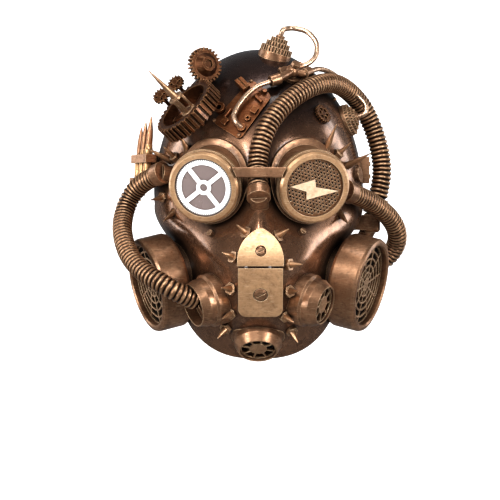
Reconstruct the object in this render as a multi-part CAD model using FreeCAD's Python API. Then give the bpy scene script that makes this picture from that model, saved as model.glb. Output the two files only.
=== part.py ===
"""Steampunk gas mask: a rigid face-and-crown shell that carries goggles, two turning filter
canisters, three corrugated hoses, loose gear wheels, pipework, spikes and dummy cartridges.

Millimetres. +Z is up, the face looks along -Y, +X is the mask's own left (a viewer's right).
The origin is the middle of the opening that the head goes into, level with the ears.
"""
import FreeCAD
import Part
import os
from math import asin, atan2, cos, degrees, exp, pi, radians, sin, sqrt, tan

Vec = FreeCAD.Vector
Z_AXIS = Vec(0, 0, 1)

# ---------------------------------------------------------------- driving dimensions
HALF_WIDTH = 84.0          # head form, ear to middle
FACE_DEPTH = 98.0          # ear line to brow
CROWN_HEIGHT = 122.0
JAW_REACH = 150.0          # lower half, before the jaw edge cuts it
WALL = 2.6                 # shell thickness
BED = 0.1                  # glue gap between the shell and what sits on it
SIDE_EDGE = 80.0           # degrees round from the nose to the ear notch
JAW_EDGE = -65.0           # degrees below the ear line
CROWN_EDGE = 108.0         # degrees above the ear line

CUP_R = 25.6               # goggle cup, outside
CUP_WALL = 2.2
BEZEL_R = 27.2
BEZEL_BORE = 22.3
GOGGLE_FRONT = Vec(42.0, -111.0, 8.3)
GOGGLE_YAW = 16.0
GOGGLE_PITCH = 15.0
DIAL_TEETH = 90
MESH_PITCH = 2.8
MESH_HOLE_R = 0.85

CANISTER_R = 37.0
CANISTER_LENGTH = 25.0
CANISTER_WALL = 2.4
CANISTER_WINDOW_R = 31.6
CANISTER_BACK = Vec(65.4, -40.9, -60.3)
CANISTER_AXIS = Vec(0.903, -0.366, -0.226)
SPIGOT_R = 18.0
RUN_FIT = 0.05             # radial clearance of everything that turns
NECK_R = 28.0

OUTLET_R = 18.4
OUTLET_BORE = 14.0
HOSED_BORE = 15.6
OUTLET_CONE = 6.5
OUTLET_FRONT = Vec(50.0, -97.0, -80.0)
OUTLET_AXIS = Vec(0.866, -0.42, -0.27)
CHIN_FRONT = Vec(-0.6, -85.0, -115.0)
CHIN_AXIS = Vec(0, -0.57, -0.82)

HOSE_R = 7.8
PIPE_R = 2.05

WHEEL_R = 27.0
WHEEL_WIDTH = 12.4
WHEEL_TEETH = 36
WHEEL_FRONT = Vec(-57.6, -78.4, 72.4)
WHEEL_AXIS = Vec(-0.66, -0.39, 0.642)
AXLE_R = 2.0
PIN_R = 1.5

BRIDGE_SPAN = 40.0
BRIDGE_THICK = 4.0
BRIDGE_HEIGHT = 7.8
BRIDGE_FRONT = -122.6

STRAP_X = 86.0             # middle of the elastic's thickness
STRAP_Z = 26.0
STRAP_WIDTH = 18.0
STRAP_THICK = 1.4
STRAP_STRAIGHT = 40.0      # straight run behind each anchor
STRAP_BACK = 102.0


parts = {}


# ---------------------------------------------------------------- small vector helpers
def unit(v):
    return Vec(v).normalize()


def mirrored(v, side):
    """A left-right pair shares its numbers: side is +1 or -1."""
    return Vec(v.x * side, v.y, v.z)


def placed(shape, base, axis, roll=0.0):
    """Stand a shape made about +Z on base, along axis, rolled about that axis."""
    turn = FreeCAD.Rotation(Z_AXIS, unit(axis)).multiply(FreeCAD.Rotation(Z_AXIS, roll))
    moved = shape.copy()
    moved.Placement = FreeCAD.Placement(base, turn)
    return moved


def rod(radius, length, base, axis):
    return Part.makeCylinder(radius, length, base, unit(axis))


def ring(outer, inner, length, base, axis):
    return rod(outer, length, base, axis).cut(rod(inner, length, base, axis))


def turned(profile, base, axis):
    """Revolve a closed outline of (radius, height) points about the axis."""
    points = [Vec(r, 0, h) for r, h in profile]
    solid = Part.Face(Part.makePolygon(points + points[:1])).revolve(Vec(0, 0, 0), Z_AXIS, 360)
    if solid.Volume < 0:
        solid.reverse()
    return placed(solid, base, axis)


def polygon_prism(points, height):
    outline = [Vec(x, y, 0) for x, y in points]
    return Part.Face(Part.makePolygon(outline + outline[:1])).extrude(Vec(0, 0, height))


def hexagon(across_corners, height):
    corner = across_corners / 2
    return polygon_prism([(corner * cos(k * pi / 3), corner * sin(k * pi / 3)) for k in range(6)], height)


def joined(shapes):
    return shapes[0].multiFuse(shapes[1:]).removeSplitter()


def both_sides(name, shape):
    """The piece on the +X side and its mirror image."""
    parts[name + "_right"] = shape
    parts[name + "_left"] = shape.mirror(Vec(0, 0, 0), Vec(1, 0, 0))


# ---------------------------------------------------------------- the head form
def ease(t):
    t = min(max(t, 0.0), 1.0)
    return t * t * (3 - 2 * t)


def swell(x, z, centre_x, centre_z, spread_x, spread_z, power):
    return exp(-(abs((x - centre_x) / spread_x) ** power + abs((z - centre_z) / spread_z) ** power))


def skin(psi, phi):
    """Outer face of the shell: psi runs round from the nose to an ear, phi from the ears up."""
    dx, dy, dz = sin(psi), -cos(psi) * cos(phi), cos(psi) * sin(phi)
    reach = CROWN_HEIGHT if dz >= 0 else JAW_REACH
    squareness = 2 + 0.6 * ease(-degrees(phi) / 40)
    across = (abs(dx) / HALF_WIDTH) ** squareness
    upright = ((dy / FACE_DEPTH) ** 2 + (dz / reach) ** 2) ** (squareness / 2)
    radius = (across + upright) ** (-1 / squareness)
    x, y, z = radius * dx, radius * dy, radius * dz
    x *= 1 - 0.13 * ease((-z - 5) / 50) - 0.13 * exp(-((z + 45) / 25) ** 2)
    out = 36 * swell(x, z, 0, -62, 33, 40, 2.6)
    out += 16 * swell(x, z, 0, -12, 11, 24, 2)
    for side in (-1, 1):
        out += 10 * swell(x, z, 40 * side, -40, 17, 17, 2.2)
        out -= 7 * swell(x, z, 45 * side, 13, 26, 26, 4)
    return Vec(x, y - out, z)


def outward(psi, phi, step=1e-3):
    along_psi = skin(psi + step, phi) - skin(psi - step, phi)
    along_phi = skin(psi, phi + step) - skin(psi, phi - step)
    normal = along_phi.cross(along_psi).normalize()
    return normal if normal.dot(skin(psi, phi)) > 0 else normal * -1


def seat(x, z, lift=0.0):
    """Point of the outer face at (x, z), raised by lift, and the direction out of the face there."""
    psi, phi = asin(x / (HALF_WIDTH + 10)), asin(z / (CROWN_HEIGHT + 12))
    step = 1e-4
    for _ in range(40):
        here = skin(psi, phi)
        by_psi = (skin(psi + step, phi) - here) * (1 / step)
        by_phi = (skin(psi, phi + step) - here) * (1 / step)
        miss_x, miss_z = x - here.x, z - here.z
        det = by_psi.x * by_phi.z - by_phi.x * by_psi.z
        psi += 0.7 * (miss_x * by_phi.z - miss_z * by_phi.x) / det
        phi += 0.7 * (miss_z * by_psi.x - miss_x * by_psi.z) / det
    normal = outward(psi, phi)
    return skin(psi, phi) + normal * lift, normal


def sheet(point_at, psi_span, phi_span, grid):
    """Smooth surface through a grid of points of the head form."""
    psis = [radians(psi_span[0] + (psi_span[1] - psi_span[0]) * i / grid[0]) for i in range(grid[0] + 1)]
    phis = [radians(phi_span[0] + (phi_span[1] - phi_span[0]) * j / grid[1]) for j in range(grid[1] + 1)]
    surface = Part.BSplineSurface()
    surface.interpolate([[point_at(psi, phi) for phi in phis] for psi in psis])
    return surface


def closed_between(inner, outer):
    """Solid between two sheets made on the same grid."""
    u0, u1, v0, v1 = outer.bounds()
    faces = [inner.toShape(), outer.toShape()]
    for iso, value in (("uIso", u0), ("uIso", u1), ("vIso", v0), ("vIso", v1)):
        edges = [getattr(side, iso)(value).toShape() for side in (inner, outer)]
        faces.append(Part.makeRuledSurface(*edges))
    skin_shell = Part.makeShell(faces)
    skin_shell.sewShape()
    solid = Part.makeSolid(skin_shell)
    if solid.Volume < 0:
        solid.reverse()
    return solid


def layer(low, high, psi_span=(-SIDE_EDGE, SIDE_EDGE), phi_span=(JAW_EDGE, CROWN_EDGE), grid=(44, 48)):
    """Solid lying between two heights over the outer face of the shell."""
    def raised(height):
        return lambda psi, phi: skin(psi, phi) + outward(psi, phi) * height
    return closed_between(sheet(raised(low), psi_span, phi_span, grid),
                          sheet(raised(high), psi_span, phi_span, grid))


CORE_PSI = (-86, 86)
CORE_PHI = (-80, 124)
core = closed_between(sheet(lambda psi, phi: skin(psi, phi) * 0.5, CORE_PSI, CORE_PHI, (46, 52)),
                      sheet(lambda psi, phi: skin(psi, phi) + outward(psi, phi) * BED,
                            CORE_PSI, CORE_PHI, (46, 52)))


def bedded(shape, *others):
    """Trim a piece to sit on the shell, and clear of its neighbours."""
    for other in (core,) + others:
        shape = shape.cut(other)
    solids = sorted(shape.Solids, key=lambda solid: solid.Volume)
    return solids[-1]


def bedded_group(shapes, *others):
    return Part.makeCompound([bedded(shape, *others) for shape in shapes])


# ---------------------------------------------------------------- goggles
yaw, pitch = radians(GOGGLE_YAW), radians(GOGGLE_PITCH)
look = Vec(sin(yaw) * cos(pitch), -cos(yaw) * cos(pitch), -sin(pitch))
flange_layer = layer(-1.5, 3.6, (-2, 70), (-32, 46), (26, 28))
LENS_R = CUP_R - 0.1
LIP = 2.5
LENS_THICK = 2.0
BEZEL_DEPTH = 9.0

bezel_profile = [(BEZEL_BORE, 0), (BEZEL_R - 1.6, 0), (BEZEL_R, -1.6), (BEZEL_R, -5.6), (BEZEL_R + 1, -5.6),
                 (BEZEL_R + 1, -BEZEL_DEPTH), (CUP_R + BED, -BEZEL_DEPTH), (CUP_R + BED, -LIP),
                 (BEZEL_BORE, -LIP)]

cup_front = GOGGLE_FRONT - look * (LIP + LENS_THICK + 0.2)
tube_blank = ring(CUP_R, CUP_R - CUP_WALL, 60, cup_front, look * -1)
behind_bezel = GOGGLE_FRONT - look * (BEZEL_DEPTH + 0.4)
foot = flange_layer.common(ring(CUP_R + 4.6, CUP_R - 1, 80, behind_bezel, look * -1))
both_sides("goggle_cup", bedded(joined([tube_blank, foot])))
both_sides("goggle_bezel", turned(bezel_profile, GOGGLE_FRONT, look))
cups = {side: parts["goggle_cup_" + side] for side in ("left", "right")}


def toothed(teeth, tip, root, width, sharpness=0.5):
    """Gear blank with straight teeth; sharpness is the tip's share of a tooth's pitch."""
    points = []
    pitch_angle = 2 * pi / teeth
    flank = ((root, -0.30), (tip, -0.25 * sharpness), (tip, 0.25 * sharpness), (root, 0.30))
    for k in range(teeth):
        for radius, share in flank:
            angle = (k + share) * pitch_angle
            points.append((radius * cos(angle), radius * sin(angle)))
    return polygon_prism(points, width)


def spoked(blank, rim_inner, hub_r, spokes, spoke_width, height, spoke_height, roll=0.0):
    """Open a gear blank into rim, spokes and hub. The spokes stand on the lower face."""
    window = Part.makeCylinder(rim_inner, height).cut(Part.makeCylinder(hub_r, height))
    for k in range(spokes):
        arm = Part.makeBox(rim_inner + 1, spoke_width, spoke_height, Vec(0, -spoke_width / 2, 0))
        arm.rotate(Vec(0, 0, 0), Z_AXIS, roll + 360 * k / spokes)
        window = window.cut(arm)
    return blank.cut(window)


left_axis = mirrored(look, -1)
left_front = mirrored(GOGGLE_FRONT, -1)
parts["lens_left"] = rod(LENS_R, LENS_THICK, left_front - left_axis * (LIP + 0.1), left_axis * -1)
dial = toothed(DIAL_TEETH, 21.2, 20.0, 1.1, 0.6)
dial = spoked(dial, 17.5, 5.6, 4, 3.2, 1.1, 1.1, 20)
dial = dial.cut(Part.makeCylinder(3.0, 1.1))
parts["gear_dial_left"] = placed(dial, left_front - left_axis * (LIP - 0.1), left_axis, 90)

MESH_THICK = 0.8
mesh_front = GOGGLE_FRONT - look * (LIP + 0.1)
holes = []
row_step = MESH_PITCH * sqrt(3) / 2
for row in range(-9, 10):
    for column in range(-9, 10):
        x = (column + (row % 2) / 2) * MESH_PITCH
        y = row * row_step
        if sqrt(x * x + y * y) < BEZEL_BORE - 1.2:
            holes.append(Part.Wire(Part.makeCircle(MESH_HOLE_R, Vec(x, y, 0))))
mesh_rim = Part.Wire(Part.makeCircle(LENS_R, Vec(0, 0, 0)))
mesh_face = Part.makeFace([mesh_rim] + holes, "Part::FaceMakerBullseye")
parts["mesh_screen_right"] = placed(mesh_face.extrude(Vec(0, 0, MESH_THICK)),
                                    mesh_front - look * MESH_THICK, look)
behind_mesh = mesh_front - look * (MESH_THICK + 0.1)
parts["lens_right"] = rod(LENS_R, LENS_THICK - MESH_THICK - 0.2, behind_mesh, look * -1)
bolt_outline = [(-18.9, -0.4), (-6.1, 3.2), (-5.6, 9.3), (18.4, 2.4), (0.8, -0.2), (-0.2, -6.2)]
face_right = unit(Vec(cos(yaw), sin(yaw), 0))
face_up = look.cross(face_right) * -1
bolt_points = [mesh_front + look * BED + face_right * x + face_up * z for x, z in bolt_outline]
bolt_face = Part.Face(Part.makePolygon(bolt_points + bolt_points[:1]))
parts["lightning_plate_right"] = bolt_face.extrude(look * 1.6)

# ---------------------------------------------------------------- corrugated hoses and their ports
brow_hose = [Vec(-0.6, -117.6, 7), Vec(-1.2, -108.8, 19), Vec(-0.8, -104.2, 33), Vec(2.4, -101, 46.5),
             Vec(9, -95.3, 60.5), Vec(20, -86.2, 73.5), Vec(33, -74.4, 83.6), Vec(47.6, -56, 91.2),
             Vec(60.2, -35, 93), Vec(72.4, -16, 87.5), Vec(83.5, -4, 76), Vec(91.2, 0.5, 61),
             Vec(96, 1, 46), Vec(98.8, 0.5, 31), Vec(98.4, -1, 16.5), Vec(95, -2, 3)]
cheek_hose = [Vec(70.5, -64.5, 6), Vec(81.5, -50, 2.5), Vec(92.5, -34, -3.5), Vec(104, -18, -12),
              Vec(111, -5, -23), Vec(111, 7, -34.5), Vec(103.5, 14, -45), Vec(92, 13.5, -50.5),
              Vec(81, 8, -50)]
chin_hose = [Vec(-79, -50, 20), Vec(-90.5, -38, 15.5), Vec(-101, -30.5, 4), Vec(-106.5, -37, -12),
             Vec(-105.8, -56, -27), Vec(-99.2, -75, -43.5), Vec(-87, -92, -55.5), Vec(-72.5, -102.4, -63.2),
             Vec(-60, -103.7, -70.6), Vec(-46.8, -95.2, -76.3)]


def path(points):
    """Straight runs joined by tangent arcs, each as large as 0.45 of its shorter run allows."""
    edges = []
    start = points[0]
    radii = []
    for before, corner, after in zip(points, points[1:], points[2:]):
        back, ahead = unit(before - corner), unit(after - corner)
        trim = 0.45 * min((before - corner).Length, (after - corner).Length)
        half_turn = (pi - back.getAngle(ahead)) / 2
        radius = trim / tan(half_turn)
        first, last = corner + back * trim, corner + ahead * trim
        inward = unit(back + ahead)
        middle = corner + inward * (radius / cos(half_turn) - radius)
        edges.append(Part.LineSegment(start, first).toShape())
        edges.append(Part.Arc(first, middle, last).toShape())
        radii.append(radius)
        start = last
    edges.append(Part.LineSegment(start, points[-1]).toShape())
    return Part.Wire(edges), radii


def tube(name, points, radius):
    wire, radii = path(points)
    section = Part.Wire(Part.makeCircle(radius, points[0], unit(points[1] - points[0])))
    solid = wire.makePipe(Part.Face(section))
    share = solid.Volume / (pi * radius ** 2 * wire.Length)
    print(f"{name}: length {wire.Length:.1f}, volume share {share:.4f}, radii",
          " ".join(f"{r:.0f}" for r in radii))
    return solid


def elbow_port(end, towards, foot_reach, *others):
    """Ferrule that a hose end butts on, with a foot that runs back into the shell."""
    back = unit(end - towards)
    ferrule = rod(HOSE_R + 1.1, 8, end + back * BED, back)
    root = end + back * 5
    _, normal = seat(root.x, root.z)
    foot = rod(HOSE_R - 0.8, foot_reach, root, normal * -1)
    hose_side = rod(24, 24, end + back * BED, back * -1)
    return bedded(joined([ferrule, foot]), hose_side, *others)


parts["hose_brow"] = tube("hose_brow", brow_hose, HOSE_R)
parts["hose_cheek_right"] = tube("hose_cheek_right", cheek_hose, HOSE_R)
parts["hose_chin_left"] = tube("hose_chin_left", chin_hose, HOSE_R)
parts["hose_ports"] = Part.makeCompound([elbow_port(brow_hose[0], brow_hose[1], 14),
                                         elbow_port(cheek_hose[0], cheek_hose[1], 16, cups["right"]),
                                         elbow_port(chin_hose[0], chin_hose[1], 16)])

junction = Part.makeBox(13, 16, 16, Vec(84, -8, -24))
junction = junction.makeFillet(3, junction.Edges)
junction_lug = Part.makeBox(16, 11, 12, Vec(74, -8, -22))
leg_top = Vec(90, 0, -18)
upper_way = unit(brow_hose[-1] - brow_hose[-2])
lower_way = unit(cheek_hose[-1] - cheek_hose[-2])
upper_ferrule = rod(HOSE_R + 1.1, 12, brow_hose[-1] + upper_way * BED, upper_way)
lower_ferrule = rod(HOSE_R + 1.1, 9, cheek_hose[-1] + lower_way * BED, lower_way)
leg_low = cheek_hose[-1] + lower_way * 9
leg_way = unit(leg_top - leg_low)
drop_leg = rod(6, (leg_top - leg_low).Length, leg_low, leg_way)
elbow = rod(HOSE_R + 0.2, 14, leg_low - leg_way * 7, leg_way)
parts["hose_junction_right"] = bedded(joined([junction, junction_lug, upper_ferrule, lower_ferrule,
                                              drop_leg, elbow]))

bridge = Part.makeBox(BRIDGE_SPAN, BRIDGE_THICK, BRIDGE_HEIGHT, Vec(-BRIDGE_SPAN / 2, BRIDGE_FRONT, 15.8))
for side in (-1, 1):
    facing = mirrored(look, side)
    bridge = bridge.cut(rod(BEZEL_R + 1.3, 60, mirrored(GOGGLE_FRONT, side) + facing * 5, facing * -1))
front_edges = [edge for edge in bridge.Edges
               if abs(edge.CenterOfMass.y - BRIDGE_FRONT) < 1e-3 and abs(edge.CenterOfMass.x) < 1]
bridge = bridge.makeFillet(0.8, front_edges)
for start, end in zip(brow_hose, brow_hose[1:3]):
    bridge = bridge.cut(rod(HOSE_R + 0.4, 30, start, end - start))
parts["goggle_bridge"] = bridge

# ---------------------------------------------------------------- outlets
GRILLE_THICK = 1.4
outlet_grille = spoked(Part.makeCylinder(OUTLET_BORE - BED, GRILLE_THICK), OUTLET_BORE - 1.2, 6.6, 8, 1.0,
                       GRILLE_THICK, GRILLE_THICK, 30)


def outlet_body(front, axis, bore):
    foot_r = OUTLET_R + 2
    profile = [(0, -26), (foot_r, -26), (foot_r, -13), (OUTLET_R, -11.5), (OUTLET_R, -OUTLET_CONE),
               (bore + 0.9, 0), (bore, 0), (bore, -9), (0, -9)]
    return bedded(turned(profile, front, axis).cut(rod(10.5, 30, front, axis * -1)))


outlet_way, chin_way = unit(OUTLET_AXIS), unit(CHIN_AXIS)
both_sides("outlet_body", outlet_body(OUTLET_FRONT, outlet_way, HOSED_BORE))
parts["outlet_body_right"] = outlet_body(OUTLET_FRONT, outlet_way, OUTLET_BORE)
parts["outlet_body_chin"] = outlet_body(CHIN_FRONT, chin_way, OUTLET_BORE)
open_outlets = ((OUTLET_FRONT, outlet_way), (CHIN_FRONT, chin_way))
parts["outlet_grilles"] = Part.makeCompound([placed(outlet_grille, front - axis * 3.4, axis)
                                             for front, axis in open_outlets])
parts["exhale_valves"] = Part.makeCompound([rod(12.4, 1.0, front - axis * 8.8, axis)
                                            for front, axis in open_outlets])

# ---------------------------------------------------------------- filter canisters
SPIGOT_REACH = 8.0
MEDIA_BACK = 9.0
WEB_BACK = 18.6
WEB_THICK = 1.4
inside_r = CANISTER_R - CANISTER_WALL
canister_profile = [(SPIGOT_R + RUN_FIT, 0.4), (CANISTER_R - 3, 0.4), (CANISTER_R - 0.9, 1.3),
                    (CANISTER_R, 3.4),
                    (CANISTER_R, CANISTER_LENGTH - 3), (CANISTER_R - 0.9, CANISTER_LENGTH - 0.9),
                    (CANISTER_R - 3, CANISTER_LENGTH), (CANISTER_WINDOW_R + 1, CANISTER_LENGTH),
                    (CANISTER_WINDOW_R, CANISTER_LENGTH - 1),
                    (CANISTER_WINDOW_R, WEB_BACK + WEB_THICK + BED),
                    (inside_r, WEB_BACK + WEB_THICK + BED), (inside_r, 2.8), (SPIGOT_R + RUN_FIT, 2.8)]


def web_grille():
    """Round wire web: rings and spokes of one thickness."""
    bar = 1.2
    ring_radii = (4.5, 9.5, 15, 20.5, 26)
    rim = Part.makeCylinder(inside_r - BED, WEB_THICK)
    pieces = [rim.cut(Part.makeCylinder(CANISTER_WINDOW_R - 1, WEB_THICK))]
    for radius in ring_radii:
        outer, inner = radius + bar / 2, radius - bar / 2
        pieces.append(Part.makeCylinder(outer, WEB_THICK).cut(Part.makeCylinder(inner, WEB_THICK)))
    for k in range(5):
        arm = Part.makeBox(2 * CANISTER_WINDOW_R, bar, WEB_THICK, Vec(-CANISTER_WINDOW_R, -bar / 2, 0))
        arm.rotate(Vec(0, 0, 0), Z_AXIS, 36 * k)
        pieces.append(arm)
    return joined(pieces)


canister_way = unit(CANISTER_AXIS)
neck_profile = [(14.5, -24), (NECK_R, -24), (NECK_R, 0), (SPIGOT_R, 0), (SPIGOT_R, SPIGOT_REACH),
                (14.5, SPIGOT_REACH)]
neck = bedded(turned(neck_profile, CANISTER_BACK, canister_way))
parts["canister_necks"] = Part.makeCompound([neck, neck.mirror(Vec(0, 0, 0), Vec(1, 0, 0))])
both_sides("canister_shell", turned(canister_profile, CANISTER_BACK, canister_way))
both_sides("filter_disc", rod(inside_r - 0.4, WEB_BACK - MEDIA_BACK - 0.3,
                              CANISTER_BACK + canister_way * MEDIA_BACK, canister_way))
both_sides("canister_web", placed(web_grille(), CANISTER_BACK + canister_way * WEB_BACK, canister_way, 12))

# ---------------------------------------------------------------- nose plates
PLATE_RISE = 3.0
profile_phis = [radians(-10 - 44 * k / 22) for k in range(23)]
crest = [skin(0, phi) + outward(0, phi) * PLATE_RISE for phi in profile_phis]
crest_curve = Part.BSplineCurve()
crest_curve.interpolate([Vec(0, point.y, point.z) for point in crest])
crest_back = [Vec(0, crest[-1].y + 45, crest[-1].z), Vec(0, crest[0].y + 45, crest[0].z)]
crest_wire = Part.Wire([crest_curve.toShape(), Part.makeLine(crest_curve.EndPoint, crest_back[0]),
                        Part.makeLine(crest_back[0], crest_back[1]),
                        Part.makeLine(crest_back[1], crest_curve.StartPoint)])
crest_slab = Part.Face(crest_wire).extrude(Vec(60, 0, 0))
crest_slab.translate(Vec(-30, 0, 0))


def face_outline(edges):
    """Prism along Y from an outline drawn in X and Z."""
    return Part.Face(Part.Wire(edges)).extrude(Vec(0, 120, 0))


def at(x, z):
    return Vec(x, -160, z)


PLATE_MID = 1.0
ogive = face_outline([
    Part.Arc(at(PLATE_MID - 17.2, -45), at(PLATE_MID - 12.5, -31), at(PLATE_MID - 3.5, -23)).toShape(),
    Part.Arc(at(PLATE_MID - 3.5, -23), at(PLATE_MID, -21.6), at(PLATE_MID + 3.5, -23)).toShape(),
    Part.Arc(at(PLATE_MID + 3.5, -23), at(PLATE_MID + 12.5, -31), at(PLATE_MID + 17.2, -45)).toShape(),
    Part.makeLine(at(PLATE_MID + 17.2, -45), at(PLATE_MID + 17.2, -50)),
    Part.makeLine(at(PLATE_MID + 17.2, -50), at(PLATE_MID - 17.2, -50)),
    Part.makeLine(at(PLATE_MID - 17.2, -50), at(PLATE_MID - 17.2, -45))])
lower_corner = 6.0
lower_half, lower_bottom = 16.6, -88.0
lower = Part.makeBox(2 * lower_half, 120, 36.4, Vec(PLATE_MID - lower_half, -160, lower_bottom))
lower = lower.makeFillet(lower_corner, [edge for edge in lower.Edges
                                        if abs(edge.CenterOfMass.z - lower_bottom) < 1e-6
                                        and abs(edge.CenterOfMass.y + 100) < 1e-6])

screw_spots = {"upper": (PLATE_MID, -39.2, 3.6), "lower": (PLATE_MID, -70.1, 5.0)}
screws = []
plate_shapes = {"upper": ogive, "lower": lower}
for name, (x, z, radius) in screw_spots.items():
    spot, normal = seat(x, z, 0.3)
    plate = crest_slab.common(plate_shapes[name])
    plate = plate.cut(rod(radius + 0.5, 12, spot + normal * 1.0, normal))
    plate = plate.cut(rod(radius * 0.45, 12, spot - normal * 3, normal))
    parts["nose_plate_" + name] = bedded(plate)
    under_head = spot + normal * 1.05
    head = turned([(0, 0), (radius, 0), (radius, 1.2), (radius * 0.6, 2.2), (0, 2.2)], under_head, normal)
    slot = Part.makeBox(2 * radius, 0.9, 1, Vec(-radius, -0.45, 1.5))
    screws.append(head.cut(placed(slot, under_head, normal, 30)))

# ---------------------------------------------------------------- spikes and small screws
def spike(base_xz, tip_xz, length, radius, collar=0.0):
    """Cone from the shell to a tip seen at tip_xz; its forward lean makes up the length."""
    base, _ = seat(*base_xz)
    dx, dz = tip_xz[0] - base.x, tip_xz[1] - base.z
    lean = sqrt(max(length ** 2 - dx ** 2 - dz ** 2, 1.0))
    way = unit(Vec(dx, -lean, dz))
    sunk = 5.0
    cone = Part.makeCone(radius * (1 + sunk / length), 0.3, length + sunk, base - way * sunk, way)
    if collar:
        nut = placed(hexagon(2.3 * (radius + 0.8), collar + sunk), base - way * sunk, way)
        cone = joined([cone, nut])
    return cone


goggle_spikes = {
    "left": [spike((-54.1, 38.1), (-60.3, 49.3), 15, 3.3), spike((-64.3, 33.0), (-73.3, 41.6), 15, 2.6, 3.2),
             spike((-68.4, 31.5), (-86.2, 40.5), 23, 3.0), spike((-73.9, 3.3), (-84.0, 0.6), 14, 2.8, 2.6),
             spike((-66.3, -9.5), (-73.2, -15.7), 13, 2.8)],
    "right": [spike((51.1, 38.0), (59.1, 57.8), 25, 3.3), spike((60.8, 35.4), (70.6, 44.4), 15, 2.6, 3.2),
              spike((69.0, 27.6), (86.1, 36.5), 23, 3.0), spike((62.7, -10.5), (68.6, -17.9), 13, 2.8)]}
parts["goggle_spikes"] = Part.makeCompound([bedded(thorn, cups[side])
                                            for side, group in goggle_spikes.items() for thorn in group])

muzzle_spikes = {
    "left": [((-8.9, -25.8), (-16.6, -19.4)), ((-18.4, -43.8), (-27.5, -39.8)),
             ((-20.5, -67.0), (-28.0, -66.1)), ((-20.8, -85.3), (-27.5, -89.5)),
             ((-24.8, -97.0), (-31.3, -105.0))],
    "right": [((12.9, -28.2), (22.0, -22.4)), ((21.5, -48.8), (32.0, -48.7)),
              ((21.9, -68.9), (29.5, -68.7)), ((19.0, -87.5), (26.0, -92.2)),
              ((24.4, -99.0), (29.6, -108.4))]}
studs = [bedded(spike(base, tip, 12.5, 3.4, 2.4), parts["nose_plate_upper"], parts["nose_plate_lower"],
                parts["outlet_body_" + side], parts["outlet_body_chin"])
         for side, group in muzzle_spikes.items() for base, tip in group]
parts["muzzle_spikes"] = Part.makeCompound(studs)

for x, z in ((-35.5, -26.0), (31.6, -25.0)):
    spot, normal = seat(x, z)
    head = rod(2.4, 3.4, spot, normal).cut(placed(Part.makeBox(6, 0.8, 1, Vec(-3, -0.4, 2.7)), spot, normal))
    screws.append(bedded(head))
parts["fixing_screws"] = Part.makeCompound(screws)

# ---------------------------------------------------------------- wheels that turn
def gear_on_axle(blank, bore):
    return blank.cut(Part.makeCylinder(bore, 60, Vec(0, 0, -20)))


wheel_axis = unit(WHEEL_AXIS)
wheel_back = WHEEL_FRONT - wheel_axis * WHEEL_WIDTH
wheel = toothed(WHEEL_TEETH, WHEEL_R, WHEEL_R - 2.6, WHEEL_WIDTH, 0.9)
wheel = spoked(wheel, 21.0, 6.5, 4, 4.6, WHEEL_WIDTH, 4.0, 45)
wheel = wheel.cut(Part.makeCylinder(7.0, WHEEL_WIDTH, Vec(0, 0, 6.0)))
parts["big_wheel"] = placed(gear_on_axle(wheel, AXLE_R + RUN_FIT), wheel_back, wheel_axis)

CAGE_FOOT = 6.0 + BED
CAGE_TOP = 22.0
cage_bars = [Part.makeBox(1.8, 2.6, CAGE_TOP - CAGE_FOOT, Vec(3.6, -1.3, CAGE_FOOT)) for _ in range(3)]
for k, bar in enumerate(cage_bars):
    bar.rotate(Vec(0, 0, 0), Z_AXIS, 120 * k + 20)
cage_rings = [ring(6.0, 3.6, 1.4, Vec(0, 0, CAGE_FOOT), Z_AXIS),
              Part.makeCylinder(6.0, 1.6, Vec(0, 0, CAGE_TOP - 1.6))]
thorn = turned([(0, CAGE_TOP - 1), (3.4, CAGE_TOP - 1), (3.1, CAGE_TOP + 2), (2.3, CAGE_TOP + 8),
                (0.4, CAGE_TOP + 29), (0, CAGE_TOP + 29)], Vec(0, 0, 0), Z_AXIS)
parts["hub_spike"] = placed(joined(cage_bars + cage_rings + [thorn]), wheel_back, wheel_axis)
axle_head = turned([(0, 6.2), (2.9, 6.2), (2.9, 7.8), (0, 7.8)], wheel_back, wheel_axis)
shoulder = turned([(0, -3), (4.2, -3), (4.2, -0.3), (0, -0.3)], wheel_back, wheel_axis)
parts["wheel_axle"] = bedded(joined([rod(AXLE_R, 36, wheel_back + wheel_axis * 6.4, wheel_axis * -1),
                                     axle_head, shoulder]))

TOP_GEAR = Vec(-43.2, -56.0, 104.4)
TOP_GEAR_AXIS = unit(Vec(0.5, -0.85, 0.12))
top_gear = toothed(26, 13.8, 11.8, 5.0, 0.9).fuse(Part.makeCone(9.5, 5.5, 4.5, Vec(0, 0, 5.0)))
top_gear = top_gear.cut(Part.makeCylinder(3.4, 3.0, Vec(0, 0, 6.6)))
parts["top_gear"] = placed(gear_on_axle(top_gear, AXLE_R + RUN_FIT), TOP_GEAR, TOP_GEAR_AXIS)
post_top = TOP_GEAR - TOP_GEAR_AXIS * 3.4
_, post_way = seat(-36, 96)
top_axle = [rod(AXLE_R, 10.2, post_top, TOP_GEAR_AXIS), rod(3.6, 3.0, post_top, TOP_GEAR_AXIS),
            turned([(0, 6.8), (2.9, 6.8), (2.9, 8.0), (0, 8.0)], TOP_GEAR, TOP_GEAR_AXIS),
            rod(2.8, 30, post_top, post_way * -1)]
parts["top_gear_bracket"] = bedded(joined(top_axle))

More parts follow.
